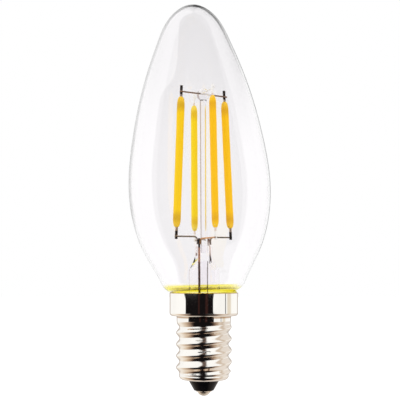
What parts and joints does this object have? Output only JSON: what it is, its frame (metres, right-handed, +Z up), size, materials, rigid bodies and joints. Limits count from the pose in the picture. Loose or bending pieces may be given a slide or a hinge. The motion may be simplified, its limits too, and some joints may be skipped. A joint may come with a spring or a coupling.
{
  "type": "candle bulb",
  "caption": "Clear candle-shaped glass bulb with upright yellow-coated LED filaments on a glass stem, standing in a small nickel screw cap with a skirt.",
  "frame": {"origin": "tip of the centre contact, on the axis of the cap", "axes": "+Z up the axis of the cap to the pointed end of the glass, +X to the right and +Y away in the picture"},
  "size_m": [0.0355, 0.0354, 0.0981],
  "materials": {
    "clear_glass": "gloss",
    "stem_glass": "gloss",
    "yellow_coating": "matte",
    "filament_strip": "matte",
    "clip_steel": "satin",
    "wire_nickel": "satin",
    "arm_copper": "satin",
    "nickel_plate": "polished",
    "black_glass": "gloss",
    "contact_brass": "satin",
    "solder": "satin",
    "yellow_cement": "matte",
    "board_green": "satin",
    "chip_black": "matte",
    "can_aluminium": "satin",
    "resistor_body": "matte",
    "inner_wire": "satin"
  },
  "bodies": {
    "root": {"basing_cement": "yellow_cement", "bridge_rectifier": "chip_black", "cap_shell": "nickel_plate", "centre_wire": "inner_wire", "contact_plate": "contact_brass", "contact_solder": "solder", "driver_board": "board_green", "driver_chip": "chip_black", "exhaust_tube": "stem_glass", "filament_back_left": "yellow_coating", "filament_back_left_foot_clip": "clip_steel", "filament_back_left_head_clip": "clip_steel", "filament_back_left_strip": "filament_strip", "filament_back_right": "yellow_coating", "filament_back_right_foot_clip": "clip_steel", "filament_back_right_head_clip": "clip_steel", "filament_back_right_strip": "filament_strip", "filament_front_left": "yellow_coating", "filament_front_left_foot_clip": "clip_steel", "filament_front_left_head_clip": "clip_steel", "filament_front_left_strip": "filament_strip", "filament_front_right": "yellow_coating", "filament_front_right_foot_clip": "clip_steel", "filament_front_right_head_clip": "clip_steel", "filament_front_right_strip": "filament_strip", "foot_arm_back_left": "wire_nickel", "foot_arm_back_right": "wire_nickel", "foot_arm_front_left": "wire_nickel", "foot_arm_front_right": "arm_copper", "fusible_resistor": "resistor_body", "glass_envelope": "clear_glass", "insulator": "black_glass", "lead_wire_back": "wire_nickel", "lead_wire_front": "wire_nickel", "side_wire": "inner_wire", "smoothing_capacitor": "can_aluminium", "stem_flare": "stem_glass", "support_rod": "stem_glass", "top_wire_front_back": "wire_nickel", "top_wire_left_right": "wire_nickel"}
  },
  "joints": []
}
